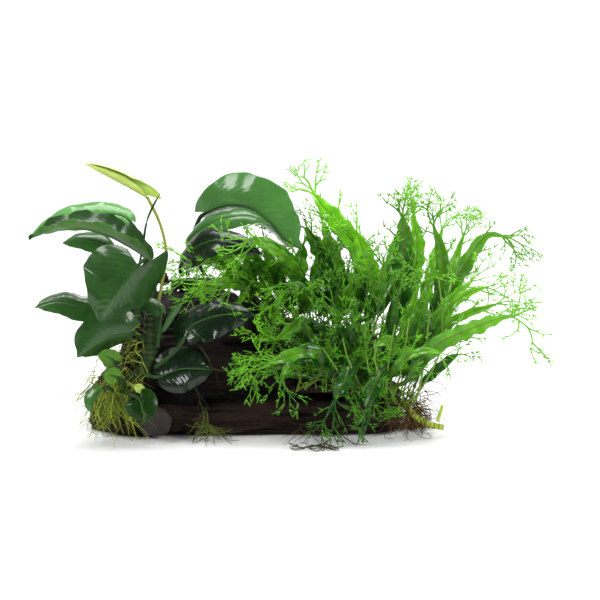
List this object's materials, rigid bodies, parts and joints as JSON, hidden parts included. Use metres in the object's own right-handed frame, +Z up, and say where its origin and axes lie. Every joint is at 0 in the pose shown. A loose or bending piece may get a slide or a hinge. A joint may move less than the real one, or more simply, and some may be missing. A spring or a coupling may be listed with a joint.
{
  "type": "water plants on driftwood",
  "caption": "Dark driftwood log with a broad-leaved anubias at the left and a java fern with forked frond tips at the right.",
  "frame": {"origin": "middle of the wood's flat underside", "axes": "+X to the viewer's right along the log, +Y away from the viewer, +Z up"},
  "size_m": [0.4173, 0.1734, 0.2166],
  "materials": {
    "driftwood": "matte",
    "sawn_wood": "matte",
    "anubias_leaf": "gloss",
    "young_leaf": "satin",
    "yellow_leaf": "satin",
    "green_stem": "satin",
    "yellow_green_stem": "satin",
    "fern_frond": "satin",
    "olive_root": "matte",
    "brown_root": "matte"
  },
  "bodies": {
    "root": {"anubias_leaf_arched": "anubias_leaf", "anubias_leaf_big_arch": "anubias_leaf", "anubias_leaf_bright_small": "young_leaf", "anubias_leaf_curled": "anubias_leaf", "anubias_leaf_dark": "anubias_leaf", "anubias_leaf_folded_small": "anubias_leaf", "anubias_leaf_front": "anubias_leaf", "anubias_leaf_inner": "anubias_leaf", "anubias_leaf_light_underside": "young_leaf", "anubias_leaf_low_left": "anubias_leaf", "anubias_leaf_low_wood": "anubias_leaf", "anubias_leaf_mid_left": "anubias_leaf", "anubias_leaf_new_roll": "yellow_leaf", "anubias_leaf_over_wood": "anubias_leaf", "anubias_leaf_rear": "anubias_leaf", "anubias_leaf_ribbed": "anubias_leaf", "anubias_leaf_round": "young_leaf", "anubias_leaf_sheath": "anubias_leaf", "anubias_leaf_spear_bud": "anubias_leaf", "anubias_leaf_torn": "yellow_leaf", "anubias_rhizome_back": "green_stem", "anubias_rhizome_left": "green_stem", "anubias_root_fan": "olive_root", "anubias_root_forked": "olive_root", "anubias_root_long": "olive_root", "anubias_root_tuft": "olive_root", "driftwood_log": "driftwood", "driftwood_stub": "sawn_wood", "fern_cut_stalk": "yellow_green_stem", "fern_frond_crown": "fern_frond", "fern_frond_front_hanging_left": "fern_frond", "fern_frond_front_hanging_right": "fern_frond", "fern_frond_front_hanging_thin": "fern_frond", "fern_frond_front_pale": "fern_frond", "fern_frond_front_spread": "fern_frond", "fern_frond_front_upper": "fern_frond", "fern_frond_left_bright": "fern_frond", "fern_frond_left_front": "fern_frond", "fern_frond_left_low": "fern_frond", "fern_frond_left_middle": "fern_frond", "fern_frond_left_over_leaf": "fern_frond", "fern_frond_middle": "fern_frond", "fern_frond_middle_low": "fern_frond", "fern_frond_middle_right": "fern_frond", "fern_frond_right_curled": "fern_frond", "fern_frond_right_low": "fern_frond", "fern_frond_right_narrow": "fern_frond", "fern_frond_right_rear": "fern_frond", "fern_frond_right_upright": "fern_frond", "fern_frond_right_wavy": "fern_frond", "fern_frond_right_wide": "fern_frond", "fern_frond_tall_inner": "fern_frond", "fern_frond_tall_left": "fern_frond", "fern_frond_tall_middle": "fern_frond", "fern_frond_tall_rear": "fern_frond", "fern_frond_upright": "fern_frond", "fern_rhizome_front": "yellow_green_stem", "fern_rhizome_top": "brown_root", "fern_root_tangle": "brown_root", "fern_roots_front": "brown_root"}
  },
  "joints": []
}
